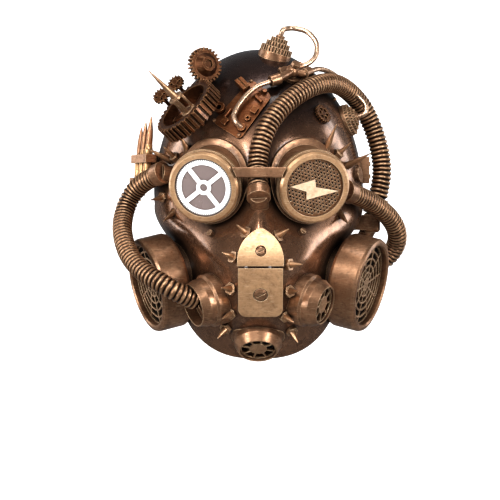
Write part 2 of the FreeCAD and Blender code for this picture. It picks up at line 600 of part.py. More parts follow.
SMALL_GEAR_AXIS = unit(Vec(-0.4, -0.82, 0.41))
lightening = [Part.makeCylinder(1.0, 3, Vec(3.4 * cos(k * pi / 2), 3.4 * sin(k * pi / 2), 0))
              for k in range(4)]
small_gear = toothed(14, 6.6, 5.2, 3.0, 0.8).cut(Part.makeCompound(lightening))
gear_pins = []
for name, centre in (("outer", Vec(-75.6, -38.0, 81.6)), ("upper", Vec(-63.8, -43.0, 91.2))):
    parts["small_gear_" + name] = placed(gear_on_axle(small_gear, PIN_R + RUN_FIT), centre, SMALL_GEAR_AXIS)
    pin = [rod(PIN_R, 36, centre + SMALL_GEAR_AXIS * 3.4, SMALL_GEAR_AXIS * -1),
           rod(2.6, 2.0, centre - SMALL_GEAR_AXIS * 2.3, SMALL_GEAR_AXIS),
           rod(2.3, 1.0, centre + SMALL_GEAR_AXIS * 3.3, SMALL_GEAR_AXIS)]
    gear_pins.append(bedded(joined(pin)))
parts["small_gear_pins"] = Part.makeCompound(gear_pins)

# ---------------------------------------------------------------- fixed gears
def gear_stack(tiers, flange_r, hub_r, hub_height):
    """Stepped pile of gears on a flange; tiers are (tip radius, teeth, thickness)."""
    pieces = [Part.makeCylinder(flange_r, 8, Vec(0, 0, -6))]
    height = 2.0
    for tip, teeth, thick in tiers:
        tier = toothed(teeth, tip, tip - 1.3, thick, 0.8)
        tier.translate(Vec(0, 0, height))
        pieces.append(tier)
        height += thick
    pieces.append(Part.makeCylinder(hub_r, hub_height, Vec(0, 0, height)))
    return joined(pieces), height + hub_height


crown_axis = unit(Vec(0.30, -0.12, 0.946))
crown_seat, _ = seat(12.6, 115.2)
crown_stack, crown_top = gear_stack([(12.6, 30, 4.6), (9.6, 24, 3.8), (6.8, 18, 3.4)], 12.9, 3.6, 2.4)
parts["crown_gear_stack"] = bedded(placed(crown_stack, crown_seat, crown_axis))
temple_axis = unit(Vec(0.92, -0.22, 0.32))
temple_seat, _ = seat(69.2, 64.0)
temple_stack, temple_top = gear_stack([(12.6, 30, 2.8), (9.6, 24, 2.2), (6.8, 18, 1.8)], 12.9, 3.4, 1.6)
parts["temple_gear_stack"] = bedded(placed(temple_stack, temple_seat, temple_axis))

forehead_seat, forehead_way = seat(48.3, 66.3, 0.4)
forehead_gear = spoked(toothed(20, 7.6, 6.4, 2.4, 0.7), 5.0, 2.2, 6, 1.1, 2.4, 2.4)
parts["forehead_gear"] = bedded(placed(forehead_gear, forehead_seat, forehead_way))

# ---------------------------------------------------------------- rigid pipes and the manifold
PLATE_THICK = 2.0
crown_pipe = [crown_seat + crown_axis * (crown_top + BED), crown_seat + crown_axis * (crown_top + 5),
              Vec(26.5, -26.5, 137), Vec(38.6, -29, 134.2), Vec(46.2, -31.5, 124.5), Vec(45.2, -34, 113.8),
              Vec(39.4, -36.8, 108), Vec(33.6, -39, 105.8)]
temple_hub = temple_seat + temple_axis * (temple_top + BED)
temple_pipe = [Vec(39.2, -48.8, 100.4), Vec(47.0, -37.5, 104.2), Vec(57, -27.5, 102), Vec(67, -21.5, 94.5),
               Vec(77.5, -20, 85), temple_hub + temple_axis * 6.5 + Vec(0, 2, 7.5),
               temple_hub + temple_axis * 6, temple_hub]
plate_route = [(7.9, 86.6, 7.0), (-1.0, 83.0, 7.5), (-9.0, 75.6, 7.5), (-15.0, 67.0, 7.5),
               (-17.6, 60.4, 7.2), (-15.8, 55.6, 6.6), (-12.6, 53.4, PLATE_THICK + 1.8)]
plate_pipe = [seat(x, z, lift)[0] for x, z, lift in plate_route]
parts["crown_pipe"] = tube("crown_pipe", crown_pipe, PIPE_R)
parts["temple_pipe"] = tube("temple_pipe", temple_pipe, PIPE_R)
parts["plate_pipe"] = tube("plate_pipe", plate_pipe, PIPE_R)

hub_spot, hub_way = seat(24.2, 96.9)
hub_centre = hub_spot + hub_way * 5
arms = [Part.makeSphere(5.2, hub_centre), rod(9.0, 8, hub_spot - hub_way * 5.6, hub_way)]
for mouth, socket_r, inner in ((crown_pipe[-1], 3.8, crown_pipe[-2]), (temple_pipe[0], 4.4, temple_pipe[1]),
                               (plate_pipe[0], 4.4, plate_pipe[1])):
    back = unit(mouth - inner)
    heel = mouth + back * 8
    arms.append(rod(socket_r, 8, mouth + back * BED, back))
    arms.append(rod(3.0, (hub_centre - heel).Length, heel, hub_centre - heel))
    arms.append(Part.makeSphere(3.0, heel))
manifold = bedded(joined(arms))
nut = placed(hexagon(7.0, 2.6), hub_centre + hub_way * 5.3, hub_way)
parts["pipe_manifold"] = Part.makeCompound([manifold, nut])

shell_rivet_spots = [(16.4, 101.5), (29.0, 88.0), (14.0, 94.4), (34.6, 104.0), (59.0, 80.4)]
plate_rivet_spots = [(-33.0, 60.2), (-14.7, 48.4), (-5.8, 90.4)]


def rivet(x, z, radius, lift):
    spot, normal = seat(x, z, lift)
    return turned([(0, -3), (radius, -3), (radius, 0.6), (radius * 0.7, radius * 0.75), (0, radius * 0.95)],
                  spot, normal)


# ---------------------------------------------------------------- machinery plate on the forehead
corners = [(-35.5, 59.4), (-14.4, 45.6), (10.2, 79.8), (-5.6, 93.6)]
plate_outline = [Vec(x, -130, z) for x, z in corners]
plate_prism = Part.Face(Part.makePolygon(plate_outline + plate_outline[:1])).extrude(Vec(0, 110, 0))
plate_prism = plate_prism.makeFillet(4, [edge for edge in plate_prism.Edges
                                         if abs(edge.CenterOfMass.y + 75) < 1e-6])
machine_plate = layer(BED, PLATE_THICK, (-32, 14), (16, 62), (18, 18)).common(plate_prism)

rivets = [rivet(x, z, 1.7, 0.8) for x, z in shell_rivet_spots]
plate_rivets = [rivet(x, z, 1.5, PLATE_THICK) for x, z in plate_rivet_spots]
machine_plate = machine_plate.cut(Part.makeCompound(plate_rivets))

stub_spot, stub_way = seat(-28.0, 68.1)
stub = ring(3.9, 2.3, 9.5, stub_spot - stub_way * 4, stub_way)
stub = joined([stub, ring(4.5, 2.3, 2.0, stub_spot + stub_way * 4.6, stub_way)])
machine_plate = machine_plate.cut(rod(4.0, 20, stub_spot - stub_way * 5, stub_way))
parts["machine_plate"] = machine_plate.Solids[0]
rivets = [bedded(head, manifold) for head in rivets + plate_rivets]


def on_plate(shape, x, z, roll):
    spot, normal = seat(x, z, PLATE_THICK + 0.05)
    return placed(shape, spot, normal, roll)


block = Part.makeBox(12.4, 6.2, 5.4, Vec(-6.2, -3.1, 0.6))
block = block.cut(Part.makeBox(14, 0.9, 1.2, Vec(-7, -0.45, 4.8)))
small_block = Part.makeBox(5.4, 4.6, 2.2, Vec(-2.7, -2.3, 0.3))
lying_rod = rod(1.3, 7.6, Vec(-3.8, 0, 1.5), Vec(1, 0, 0))
machinery = [on_plate(block, -11.4, 85.0, 118), on_plate(small_block, -24.6, 58.6, 30),
             on_plate(lying_rod, -22.5, 64.6, 40), on_plate(lying_rod, -0.2, 75.4, 130),
             on_plate(hexagon(5.2, 2.4).cut(Part.makeCylinder(1.1, 2.4)), -8.2, 60.8, 10),
             on_plate(small_block, -3.4, 66.8, 55),
             on_plate(Part.makeCylinder(1.6, 3.0, Vec(0, 0, 0.3)), 4.2, 81.0, 0),
             on_plate(Part.makeCylinder(3.1, 3.2), -12.6, 53.4, 0)]
parts["plate_machinery"] = bedded_group(machinery + [stub], parts["machine_plate"], parts["plate_pipe"])

temple_spot, temple_way = seat(77.0, 21.0)
cluster = [rod(6.0, 8, temple_spot - temple_way * 5, temple_way),
           placed(hexagon(8.0, 3.4), temple_spot + temple_way * 3.1, temple_way, 15),
           rod(2.0, 2.4, temple_spot + temple_way * 6.4, temple_way)]
parts["temple_boss_right"] = bedded(joined(cluster), parts["goggle_spikes"])

# ---------------------------------------------------------------- dummy cartridges
CASE_R = 3.3
cartridges = [(Vec(-89.2, -23, 9), Vec(-84.6, -23, 67.5)), (Vec(-93.2, -16.5, 5), Vec(-89.2, -16.5, 63.5)),
              (Vec(-96.8, -10, 1), Vec(-93, -10, 59.7))]
cases, tips, sleeves = [], [], []
for base, tip in cartridges:
    way = unit(tip - base)
    length = (tip - base).Length
    mouth = 0.62 * length
    case_profile = [(0, 0), (CASE_R, 0), (CASE_R, 1.2), (CASE_R - 0.5, 1.8), (CASE_R - 0.5, 2.6),
                    (CASE_R, 3.2), (CASE_R, mouth - 4), (CASE_R - 0.5, mouth - 2), (CASE_R - 0.5, mouth),
                    (0, mouth)]
    cases.append(turned(case_profile, base, way))
    tips.append(turned([(0, mouth + 0.05), (2.6, mouth + 0.05), (2.6, mouth + 6), (2.2, mouth + 12),
                        (1.2, length - 4), (0.5, length - 0.6), (0, length)], base, way))
    sleeves.append(rod(CASE_R + BED, length, base - way * 2, way))
parts["cartridge_cases"] = Part.makeCompound(cases)
parts["cartridge_tips"] = Part.makeCompound(tips)

row_way = Vec(-0.49, 0.87, 0)
bands = []
for low_z, high_z in ((13.0, 19.5), (31.0, 37.5)):
    belt = Part.makeBox(26.0, 9.4, high_z - low_z, Vec(-13.0, -4.7, low_z))
    lug = Part.makeBox(9.0, 24.0, high_z - low_z, Vec(-6.0, -24.0, low_z))
    belt = joined([belt, lug])
    belt.rotate(Vec(0, 0, 0), Z_AXIS, degrees(atan2(row_way.y, row_way.x)))
    lean = (low_z + high_z) / 2 * 4.3 / 58.5
    belt.translate(Vec(-93.6 + lean, -16.5, 0))
    bands.append(belt)
parts["cartridge_belt"] = bedded_group(bands, *sleeves)

# ---------------------------------------------------------------- head strap
ANCHOR_DEPTH = 13.0
ANCHOR_INSIDE = 78.0
ANCHOR_OUTSIDE = STRAP_X + 2.6
anchors = []
half_band = STRAP_WIDTH / 2
for side in (-1, 1):
    x_low = ANCHOR_INSIDE if side > 0 else -ANCHOR_OUTSIDE
    anchor = Part.makeBox(ANCHOR_OUTSIDE - ANCHOR_INSIDE, ANCHOR_DEPTH, STRAP_WIDTH + 3,
                          Vec(x_low, -3, STRAP_Z - half_band - 1.5))
    slot_x = side * STRAP_X - (STRAP_THICK / 2 + 0.4)
    slot = Part.makeBox(STRAP_THICK + 0.8, 12, STRAP_WIDTH + 1, Vec(slot_x, 0.5, STRAP_Z - half_band - 0.5))
    anchor = anchor.cut(Part.makeBox(12, 30, 60, Vec(-81 if side < 0 else 69, 3, 0)))
    anchors.append(bedded(anchor.cut(slot)))
    rivets += [rod(1.7, 1.2, Vec(side * (ANCHOR_OUTSIDE + 0.05), 5, STRAP_Z + step), Vec(side, 0, 0))
               for step in (-5, 5)]
parts["strap_anchors"] = Part.makeCompound(anchors)
parts["rivets"] = Part.makeCompound(rivets)


def strap_edge(half_width, back, y_start):
    """Half of the elastic's outline: straight beside the head, elliptical round the back."""
    depth = back - STRAP_STRAIGHT
    arc = Part.ArcOfEllipse(Part.Ellipse(Vec(0, STRAP_STRAIGHT, 0), half_width, depth), 0, pi)
    return [Part.makeLine(Vec(half_width, y_start, 0), Vec(half_width, STRAP_STRAIGHT, 0)), arc.toShape(),
            Part.makeLine(Vec(-half_width, STRAP_STRAIGHT, 0), Vec(-half_width, y_start, 0))]


strap_start = 1.2
outer_x, inner_x = STRAP_X + STRAP_THICK / 2, STRAP_X - STRAP_THICK / 2
strap_edges = strap_edge(outer_x, STRAP_BACK, strap_start)
strap_edges += strap_edge(inner_x, STRAP_BACK - STRAP_THICK, strap_start)
strap_edges += [Part.makeLine(Vec(side * outer_x, strap_start, 0), Vec(side * inner_x, strap_start, 0))
                for side in (-1, 1)]
strap_face = Part.Face(Part.Wire(Part.__sortEdges__(strap_edges)))
strap = strap_face.extrude(Vec(0, 0, STRAP_WIDTH))
strap.translate(Vec(0, 0, STRAP_Z - half_band))
parts["head_strap"] = strap

SLIDER_Y = 12.0
slider = Part.makeBox(6.0, 6.5, STRAP_WIDTH + 5, Vec(-STRAP_X - 3.0, SLIDER_Y, STRAP_Z - half_band - 2.5))
slider = slider.makeFillet(1.2, [edge for edge in slider.Edges if edge.Length > STRAP_WIDTH])
slider_slot_corner = Vec(-STRAP_X - STRAP_THICK / 2 - 0.4, SLIDER_Y - 1, STRAP_Z - half_band - 0.4)
slider = slider.cut(Part.makeBox(STRAP_THICK + 0.8, 10, STRAP_WIDTH + 0.8, slider_slot_corner))
parts["strap_slider"] = slider

# ---------------------------------------------------------------- foam pads inside the shell
PAD_LOW, PAD_HIGH = -9.0, -WALL - 0.3
parts["forehead_pad"] = layer(PAD_LOW, PAD_HIGH, (-34, 34), (40, 60), (16, 8))
temple_pad = layer(PAD_LOW, PAD_HIGH, (57, 72), (-2, 24), (6, 8))
parts["temple_pads"] = Part.makeCompound([temple_pad, temple_pad.mirror(Vec(0, 0, 0), Vec(1, 0, 0))])

# ---------------------------------------------------------------- the shell
shell = layer(-WALL, 0.0)
cutters = []
for side in (-1, 1):
    cutters.append(rod(CUP_R - CUP_WALL - 1, 80, mirrored(GOGGLE_FRONT, side), mirrored(look, side) * -1))
    cutters.append(rod(14.5, 60, mirrored(CANISTER_BACK, side) + mirrored(CANISTER_AXIS, side) * 20,
                       mirrored(CANISTER_AXIS, side) * -1))
    cutters.append(rod(10.5, 52, mirrored(OUTLET_FRONT, side), mirrored(OUTLET_AXIS, side) * -1))
cutters.append(rod(10.5, 30, CHIN_FRONT, CHIN_AXIS * -1))
for cutter in cutters:
    shell = shell.cut(cutter)
parts["mask_shell"] = sorted(shell.Solids, key=lambda solid: solid.Volume)[-1]

# ---------------------------------------------------------------- output
os.makedirs("parts", exist_ok=True)
for name, shape in parts.items():
    shape.exportStep("parts/" + name + ".step")
    box = shape.BoundBox
    flag = "" if shape.isValid() else "  NOT VALID"
    spans = [f"{low:.0f}..{high:.0f}" for low, high in ((box.XMin, box.XMax), (box.YMin, box.YMax),
                                                        (box.ZMin, box.ZMax))]
    print(f"{name:24s} solids {len(shape.Solids)} volume {shape.Volume:9.1f} {' '.join(spans)}{flag}")
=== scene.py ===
import math

import bmesh
import bpy
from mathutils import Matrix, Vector


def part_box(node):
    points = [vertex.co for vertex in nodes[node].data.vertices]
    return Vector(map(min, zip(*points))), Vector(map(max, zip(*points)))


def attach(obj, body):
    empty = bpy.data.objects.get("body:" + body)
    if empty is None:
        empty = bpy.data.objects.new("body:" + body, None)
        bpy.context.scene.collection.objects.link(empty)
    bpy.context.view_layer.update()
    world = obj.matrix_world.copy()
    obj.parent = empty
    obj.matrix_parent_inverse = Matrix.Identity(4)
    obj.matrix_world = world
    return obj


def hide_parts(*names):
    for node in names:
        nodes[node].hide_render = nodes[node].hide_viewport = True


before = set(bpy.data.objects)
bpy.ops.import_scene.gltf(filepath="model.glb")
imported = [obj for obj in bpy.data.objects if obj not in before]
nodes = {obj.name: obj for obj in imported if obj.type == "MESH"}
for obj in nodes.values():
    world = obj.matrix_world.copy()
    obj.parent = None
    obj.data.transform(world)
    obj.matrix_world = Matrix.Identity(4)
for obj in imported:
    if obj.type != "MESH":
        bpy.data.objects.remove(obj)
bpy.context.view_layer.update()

scene = bpy.context.scene
MM = 0.001


def link(obj):
    scene.collection.objects.link(obj)
    return obj


def srgb(red, green, blue):
    """Linear colour from 0-255 display values."""
    return tuple((c / 255) ** 2.2 for c in (red, green, blue)) + (1.0,)


# ---------------------------------------------------------------- camera, level with the muzzle
CAMERA_AT = Vector((-0.0068, -1.70, -0.038))
FIELD_WIDTH = 0.400        # width that the picture takes in at the ear line
SENSOR = 36.0


def make_camera():
    data = bpy.data.cameras.new("camera")
    data.sensor_width = SENSOR
    data.lens = SENSOR * -CAMERA_AT.y / FIELD_WIDTH
    data.clip_start, data.clip_end = 0.05, 30
    camera = link(bpy.data.objects.new("camera", data))
    camera.location = CAMERA_AT
    camera.rotation_euler = (math.pi / 2, 0, 0)
    scene.camera = camera


make_camera()

# ---------------------------------------------------------------- shader building blocks
class Shader:
    """A material's node tree with short calls to add and wire nodes."""

    def __init__(self, name):
        self.material = bpy.data.materials.new(name)
        self.material.use_nodes = True
        self.tree = self.material.node_tree
        self.bsdf = self.tree.nodes["Principled BSDF"]
        self.coords = self.add("ShaderNodeTexCoord").outputs["Object"]

    def add(self, kind, inputs=None, **props):
        made = self.tree.nodes.new(kind)
        for key, value in props.items():
            setattr(made, key, value)
        for key, value in (inputs or {}).items():
            self.put(made.inputs[key], value)
        return made

    def put(self, socket, value):
        if isinstance(value, bpy.types.NodeSocket):
            self.tree.links.new(value, socket)
        else:
            socket.default_value = value

    def noise(self, scale, detail=4.0, rough=0.55, stretch=None, distortion=0.0):
        place = self.coords
        if stretch:
            place = self.add("ShaderNodeMapping", {"Vector": place, "Scale": stretch}).outputs[0]
        return self.add("ShaderNodeTexNoise", {"Vector": place, "Scale": scale, "Detail": detail,
                                               "Roughness": rough, "Distortion": distortion}).outputs["Fac"]

    def cells(self, scale, feature="F1"):
        return self.add("ShaderNodeTexVoronoi", {"Vector": self.coords, "Scale": scale},
                        feature=feature).outputs["Distance"]

    def remap(self, value, low, high, to_low=0.0, to_high=1.0):
        limits = {"Value": value, "From Min": low, "From Max": high, "To Min": to_low, "To Max": to_high}
        return self.add("ShaderNodeMapRange", limits, interpolation_type="SMOOTHSTEP").outputs[0]

    def math(self, operation, a, b=0.0):
        made = self.add("ShaderNodeMath", operation=operation, use_clamp=operation != "SUBTRACT")
        self.put(made.inputs[0], a)
        self.put(made.inputs[1], b)
        return made.outputs[0]

    def mix(self, factor, a, b):
        made = self.add("ShaderNodeMix", {0: factor}, data_type="RGBA")
        self.put(made.inputs[6], a)
        self.put(made.inputs[7], b)
        return made.outputs[2]

    def height(self):
        return self.add("ShaderNodeSeparateXYZ", {0: self.coords}).outputs[2]

    def crevice(self, distance):
        """0 in the open, 1 deep in a corner."""
        open_sky = self.add("ShaderNodeAmbientOcclusion", {"Distance": distance}, samples=8).outputs["AO"]
        return self.remap(open_sky, 0.35, 0.92, 1.0, 0.0)

    def rounded(self, radius):
        return self.add("ShaderNodeBevel", {"Radius": radius}, samples=6).outputs["Normal"]

    def edge(self, radius):
        """1 on edges, 0 on flats."""
        true_normal = self.add("ShaderNodeNewGeometry").outputs["Normal"]
        alike = self.add("ShaderNodeVectorMath", {0: self.rounded(radius), 1: true_normal},
                         operation="DOT_PRODUCT")
        return self.remap(alike.outputs["Value"], 0.75, 0.995, 1.0, 0.0)

    def bump(self, height, strength, distance, normal=None):
        inputs = {"Height": height, "Strength": strength, "Distance": distance}
        if normal is not None:
            inputs["Normal"] = normal
        return self.add("ShaderNodeBump", inputs).outputs["Normal"]

    def finish(self, **sockets):
        for key, value in sockets.items():
            self.put(self.bsdf.inputs[key.replace("_", " ")], value)
        return self.material


EDGE_RADIUS = 0.45 * MM


def antique(name, deep, body, glow, metallic=0.85, rough=(0.27, 0.47), blotch=34.0, corner=7 * MM, worn=0.85,
            fade=None, brush=0.35, coat=0.12):
    """Metal-look paint: dark wash left in the corners, a mottled body, and edges rubbed bright.
    fade is (low z, high z, colour): above it the body turns to that colour."""
    s = Shader(name)
    patches = s.remap(s.noise(blotch, 5, 0.62, distortion=0.6), 0.34, 0.66)
    mottle = s.noise(blotch * 9, 6, 0.7)
    grain = s.noise(2300, 3, 0.6)
    brushed = s.noise(170, 4, 0.6, stretch=(1, 1, 9))
    crevice = s.crevice(corner)
    edge = s.math("MULTIPLY", s.edge(0.9 * MM), s.remap(mottle, 0.30, 0.62, 0.25, 1.0))
    high_body = body
    if fade:
        low_z, high_z, top = fade
        ragged = s.math("ADD", s.height(), s.math("MULTIPLY", patches, 0.02))
        high_body = s.mix(s.remap(ragged, low_z, high_z), body, top)
    colour = s.mix(s.math("MULTIPLY", patches, 0.42), high_body, deep)
    colour = s.mix(s.remap(mottle, 0.42, 0.75, 0.0, 0.5), colour, deep)
    colour = s.mix(s.remap(brushed, 0.52, 0.78, 0.0, brush), colour, glow)
    colour = s.mix(s.math("MULTIPLY", crevice, 0.88), colour, tuple(c * 0.35 for c in deep[:3]) + (1,))
    colour = s.mix(s.math("MULTIPLY", edge, worn), colour, glow)
    roughness = s.math("ADD", s.remap(mottle, 0.3, 0.7, rough[0], rough[1]), s.math("MULTIPLY", crevice, 0.3))
    relief = s.math("ADD", s.math("MULTIPLY", mottle, 0.7), s.math("MULTIPLY", grain, 0.3))
    return s.finish(Base_Color=colour, Metallic=metallic, Roughness=roughness,
                    Coat_Weight=coat, Coat_Roughness=0.14,
                    Normal=s.bump(relief, 0.22, 0.2 * MM, s.rounded(EDGE_RADIUS)))


def painted(name, base, shade, rough=0.45, metallic=0.0, coat=0.0, scale=160.0):
    """Smooth moulded or printed surface with faint clouding, fine grain and a darker colour in the corners.
    """
    s = Shader(name)
    clouds = s.noise(scale, 5, 0.6)
    colour = s.mix(s.remap(clouds, 0.35, 0.7, 0.0, 0.35), base, shade)
    # Darker where the AO node finds corners.
    colour = s.mix(s.math("MULTIPLY", s.crevice(3 * MM), 0.6), colour, shade)
    roughness = s.remap(clouds, 0.3, 0.7, rough - 0.07, rough + 0.09)
    return s.finish(Base_Color=colour, Metallic=metallic, Roughness=roughness,
                    Coat_Weight=coat, Coat_Roughness=0.12,
                    Normal=s.bump(s.noise(1900, 3), 0.12, 0.1 * MM, s.rounded(EDGE_RADIUS)))


def felt(name, base, fleck):
    s = Shader(name)
    fibre = s.noise(900, 8, 0.75, distortion=1.8)
    colour = s.mix(s.remap(fibre, 0.4, 0.7), base, fleck)
    return s.finish(Base_Color=colour, Roughness=1.0, Specular_IOR_Level=0.1,
                    Normal=s.bump(fibre, 0.8, 0.5 * MM))


def hose_paint():
    """Bronze with the crests of the ribs worn bright, partly real wear and partly painted highlight, and
    painted shade in the valleys and hollows; the attribute crest is 1 on top of a rib and 0 between two.
    """
    s = Shader("hose_bronze")
    crest = s.add("ShaderNodeAttribute", attribute_name="crest").outputs["Fac"]
    mottle = s.noise(240, 5, 0.65)
    patches = s.remap(s.noise(30, 4, 0.6), 0.35, 0.65)
    body = s.mix(s.math("MULTIPLY", patches, 0.6), srgb(124, 92, 68), srgb(72, 50, 37))
    # Painted shade: the valleys between the ribs darken almost to black.
    colour = s.mix(s.remap(crest, 0.35, 0.88), srgb(14, 9, 7), body)
    # Crests worn bright: partly real wear, partly painted highlight.
    crest_wear_and_highlight = s.math("MULTIPLY", s.remap(crest, 0.80, 1.0), s.remap(mottle, 0.36, 0.64, 0.12, 0.62))
    colour = s.mix(crest_wear_and_highlight, colour, srgb(206, 170, 134))
    # Painted shade: darker where the AO node finds hollows.
    colour = s.mix(s.math("MULTIPLY", s.crevice(5 * MM), 0.7), colour, srgb(22, 15, 11))
    roughness = s.math("ADD", s.remap(mottle, 0.3, 0.7, 0.30, 0.46), s.remap(crest, 0.0, 0.6, 0.25, 0.0))
    return s.finish(Base_Color=colour, Metallic=0.8, Roughness=roughness,
                    Normal=s.bump(s.noise(1500, 4, 0.6), 0.2, 0.15 * MM))


def woven(name, base, light):
    """Elastic webbing: ribs and crosswise picks, from the attributes along and across in millimetres."""
    s = Shader(name)
    along = s.add("ShaderNodeAttribute", attribute_name="along").outputs["Fac"]
    across = s.add("ShaderNodeAttribute", attribute_name="across").outputs["Fac"]
    spread = s.add("ShaderNodeMath", {0: across, 1: 2 * math.pi / 1.1}, operation="MULTIPLY").outputs[0]
    ribs = s.math("SINE", spread)
    shifted = s.add("ShaderNodeMath", {0: along, 1: 2 * math.pi / 0.9}, operation="MULTIPLY").outputs[0]
    picks = s.add("ShaderNodeMath", {0: shifted}, operation="SINE").outputs[0]
    weave = s.add("ShaderNodeMath", {0: ribs, 1: picks}, operation="MULTIPLY").outputs[0]
    lint = s.noise(1300, 6, 0.7)
    colour = s.mix(s.remap(weave, -0.8, 0.9, 0.0, 0.8), base, light)
    colour = s.mix(s.remap(lint, 0.6, 0.75, 0.0, 0.35), colour, srgb(88, 86, 84))
    relief = s.math("ADD", s.remap(weave, -1, 1), s.math("MULTIPLY", lint, 0.4))
    return s.finish(Base_Color=colour, Roughness=0.85, Sheen_Weight=0.3, Sheen_Roughness=0.4,
                    Normal=s.bump(relief, 0.7, 0.35 * MM))


def foam(name, base, light):
    """Soft foam faced with a fine knit."""
    s = Shader(name)
    knit = s.cells(1250)
    lumps = s.noise(110, 4)
    colour = s.mix(s.remap(knit, 0.1, 0.7), light, base)
    colour = s.mix(s.math("MULTIPLY", lumps, 0.35), colour, light)
    height = s.math("ADD", s.math("MULTIPLY", knit, 0.5), s.math("MULTIPLY", lumps, 0.5))
    return s.finish(Base_Color=colour, Roughness=0.92, Sheen_Weight=0.4, Sheen_Roughness=0.5,
                    Normal=s.bump(height, 0.6, 0.6 * MM))


shell_paint = antique("shell_bronze", srgb(38, 25, 19), srgb(140, 104, 80), srgb(216, 186, 158),
                      metallic=0.85, rough=(0.17, 0.30), blotch=16, corner=18 * MM, worn=0.7,
                      fade=(0.045, 0.10, srgb(72, 55, 50)), brush=0.08, coat=0.4)
bronze = antique("aged_bronze", srgb(40, 26, 18), srgb(146, 110, 84), srgb(224, 188, 150), metallic=0.8)
dark_bronze = antique("dark_bronze", srgb(26, 16, 11), srgb(96, 62, 41), srgb(186, 140, 100), worn=0.9,
                      corner=5 * MM)
copper = antique("copper_bronze", srgb(32, 18, 11), srgb(112, 70, 44), srgb(196, 144, 102), corner=4 * MM)
pale_gold = antique("pale_gold", srgb(88, 61, 42), srgb(184, 146, 110), srgb(244, 216, 180), metallic=0.7,
                    rough=(0.30, 0.46), corner=5 * MM, worn=0.7)
bolt_gold = antique("bolt_gold", srgb(128, 96, 70), srgb(236, 204, 170), srgb(252, 232, 206), metallic=0.55,
                    rough=(0.34, 0.5), corner=3 * MM, worn=0.5)
cone_gold = antique("cone_gold", srgb(72, 49, 34), srgb(176, 138, 106), srgb(236, 206, 170), corner=4 * MM)
pipe_gold = antique("pipe_gold", srgb(80, 58, 44), srgb(178, 148, 124), srgb(232, 212, 190),
                    rough=(0.22, 0.36), corner=4 * MM, worn=0.12)
white = painted("white_dial", srgb(246, 246, 244), srgb(214, 212, 208), rough=0.4)
grey_lens = painted("smoked_lens", srgb(102, 90, 87), srgb(90, 78, 76), rough=0.30, coat=0.2, scale=60)
dark_lens = painted("dark_lens", srgb(12, 8, 7), srgb(7, 5, 4), rough=0.3)
mesh_paint = antique("mesh_bronze", srgb(48, 31, 21), srgb(142, 106, 80), srgb(232, 200, 164),
                     corner=1.6 * MM)
rubber = painted("valve_rubber", srgb(22, 20, 19), srgb(12, 11, 10), rough=0.6)
filter_felt = felt("filter_media", srgb(16, 12, 10), srgb(34, 27, 22))
brass = antique("brass_case", srgb(92, 64, 40), srgb(198, 156, 112), srgb(240, 212, 172), rough=(0.24, 0.4))
copper_tip = antique("copper_tip", srgb(70, 48, 36), srgb(162, 118, 88), srgb(220, 182, 148),
                     rough=(0.26, 0.42))
buckle = painted("buckle_plastic", srgb(26, 26, 27), srgb(14, 14, 15), rough=0.42)
hose_bronze = hose_paint()
elastic = woven("elastic", srgb(14, 14, 15), srgb(44, 44, 46))
pad_foam = foam("foam", srgb(34, 34, 36), srgb(64, 64, 68))

FINISHES = {
    shell_paint: ["mask_shell"],
    bronze: ["goggle_cup_left", "goggle_cup_right", "canister_necks", "canister_shell_left",
             "canister_shell_right", "outlet_body_left", "outlet_body_right", "outlet_body_chin",
             "hose_ports", "hose_junction_right", "pipe_manifold", "crown_gear_stack", "temple_gear_stack",
             "temple_boss_right", "cartridge_belt", "strap_anchors", "rivets", "goggle_bridge",
             "fixing_screws"],
    dark_bronze: ["big_wheel", "wheel_axle", "top_gear", "top_gear_bracket", "small_gear_outer",
                  "small_gear_upper", "small_gear_pins", "forehead_gear"],
    copper: ["machine_plate", "plate_machinery"],
    pale_gold: ["goggle_bezel_left", "goggle_bezel_right", "nose_plate_upper", "nose_plate_lower"],
    bolt_gold: ["lightning_plate_right"],
    cone_gold: ["goggle_spikes", "muzzle_spikes", "hub_spike", "outlet_grilles", "canister_web_left",
                "canister_web_right"],
    pipe_gold: ["crown_pipe", "temple_pipe", "plate_pipe"],
    white: ["gear_dial_left"],
    grey_lens: ["lens_left"],
    dark_lens: ["lens_right"],
    mesh_paint: ["mesh_screen_right"],
    rubber: ["exhale_valves"],
    filter_felt: ["filter_disc_left", "filter_disc_right"],
    brass: ["cartridge_cases"],
    copper_tip: ["cartridge_tips"],
    buckle: ["strap_slider"],
}
for material, names in FINISHES.items():
    for name in names:
        nodes[name].data.materials.clear()
        nodes[name].data.materials.append(material)

# ---------------------------------------------------------------- corrugated hoses
RIB_PITCH = 3.5 * MM
RIB_STEPS = 8
AROUND = 40
VALLEY_R = 6.1 * MM
CREST_R = 7.8 * MM
CUFF = 1.5 * MM            # plain stretch at each end, inside the fitting

brow_route = [(-0.6, -117.6, 7), (-1.2, -108.8, 19), (-0.8, -104.2, 33), (2.4, -101, 46.5),
              (9, -95.3, 60.5), (20, -86.2, 73.5), (33, -74.4, 83.6), (47.6, -56, 91.2),
              (60.2, -35, 93), (72.4, -16, 87.5), (83.5, -4, 76), (91.2, 0.5, 61),
              (96, 1, 46), (98.8, 0.5, 31), (98.4, -1, 16.5), (95, -2, 3)]
cheek_route = [(70.5, -64.5, 6), (81.5, -50, 2.5), (92.5, -34, -3.5), (104, -18, -12),
               (111, -5, -23), (111, 7, -34.5), (103.5, 14, -45), (92, 13.5, -50.5),
               (81, 8, -50)]
chin_route = [(-79, -50, 20), (-90.5, -38, 15.5), (-101, -30.5, 4), (-106.5, -37, -12),
              (-105.8, -56, -27), (-99.2, -75, -43.5), (-87, -92, -55.5), (-72.5, -102.4, -63.2),
              (-60, -103.7, -70.6), (-46.8, -95.2, -76.3)]


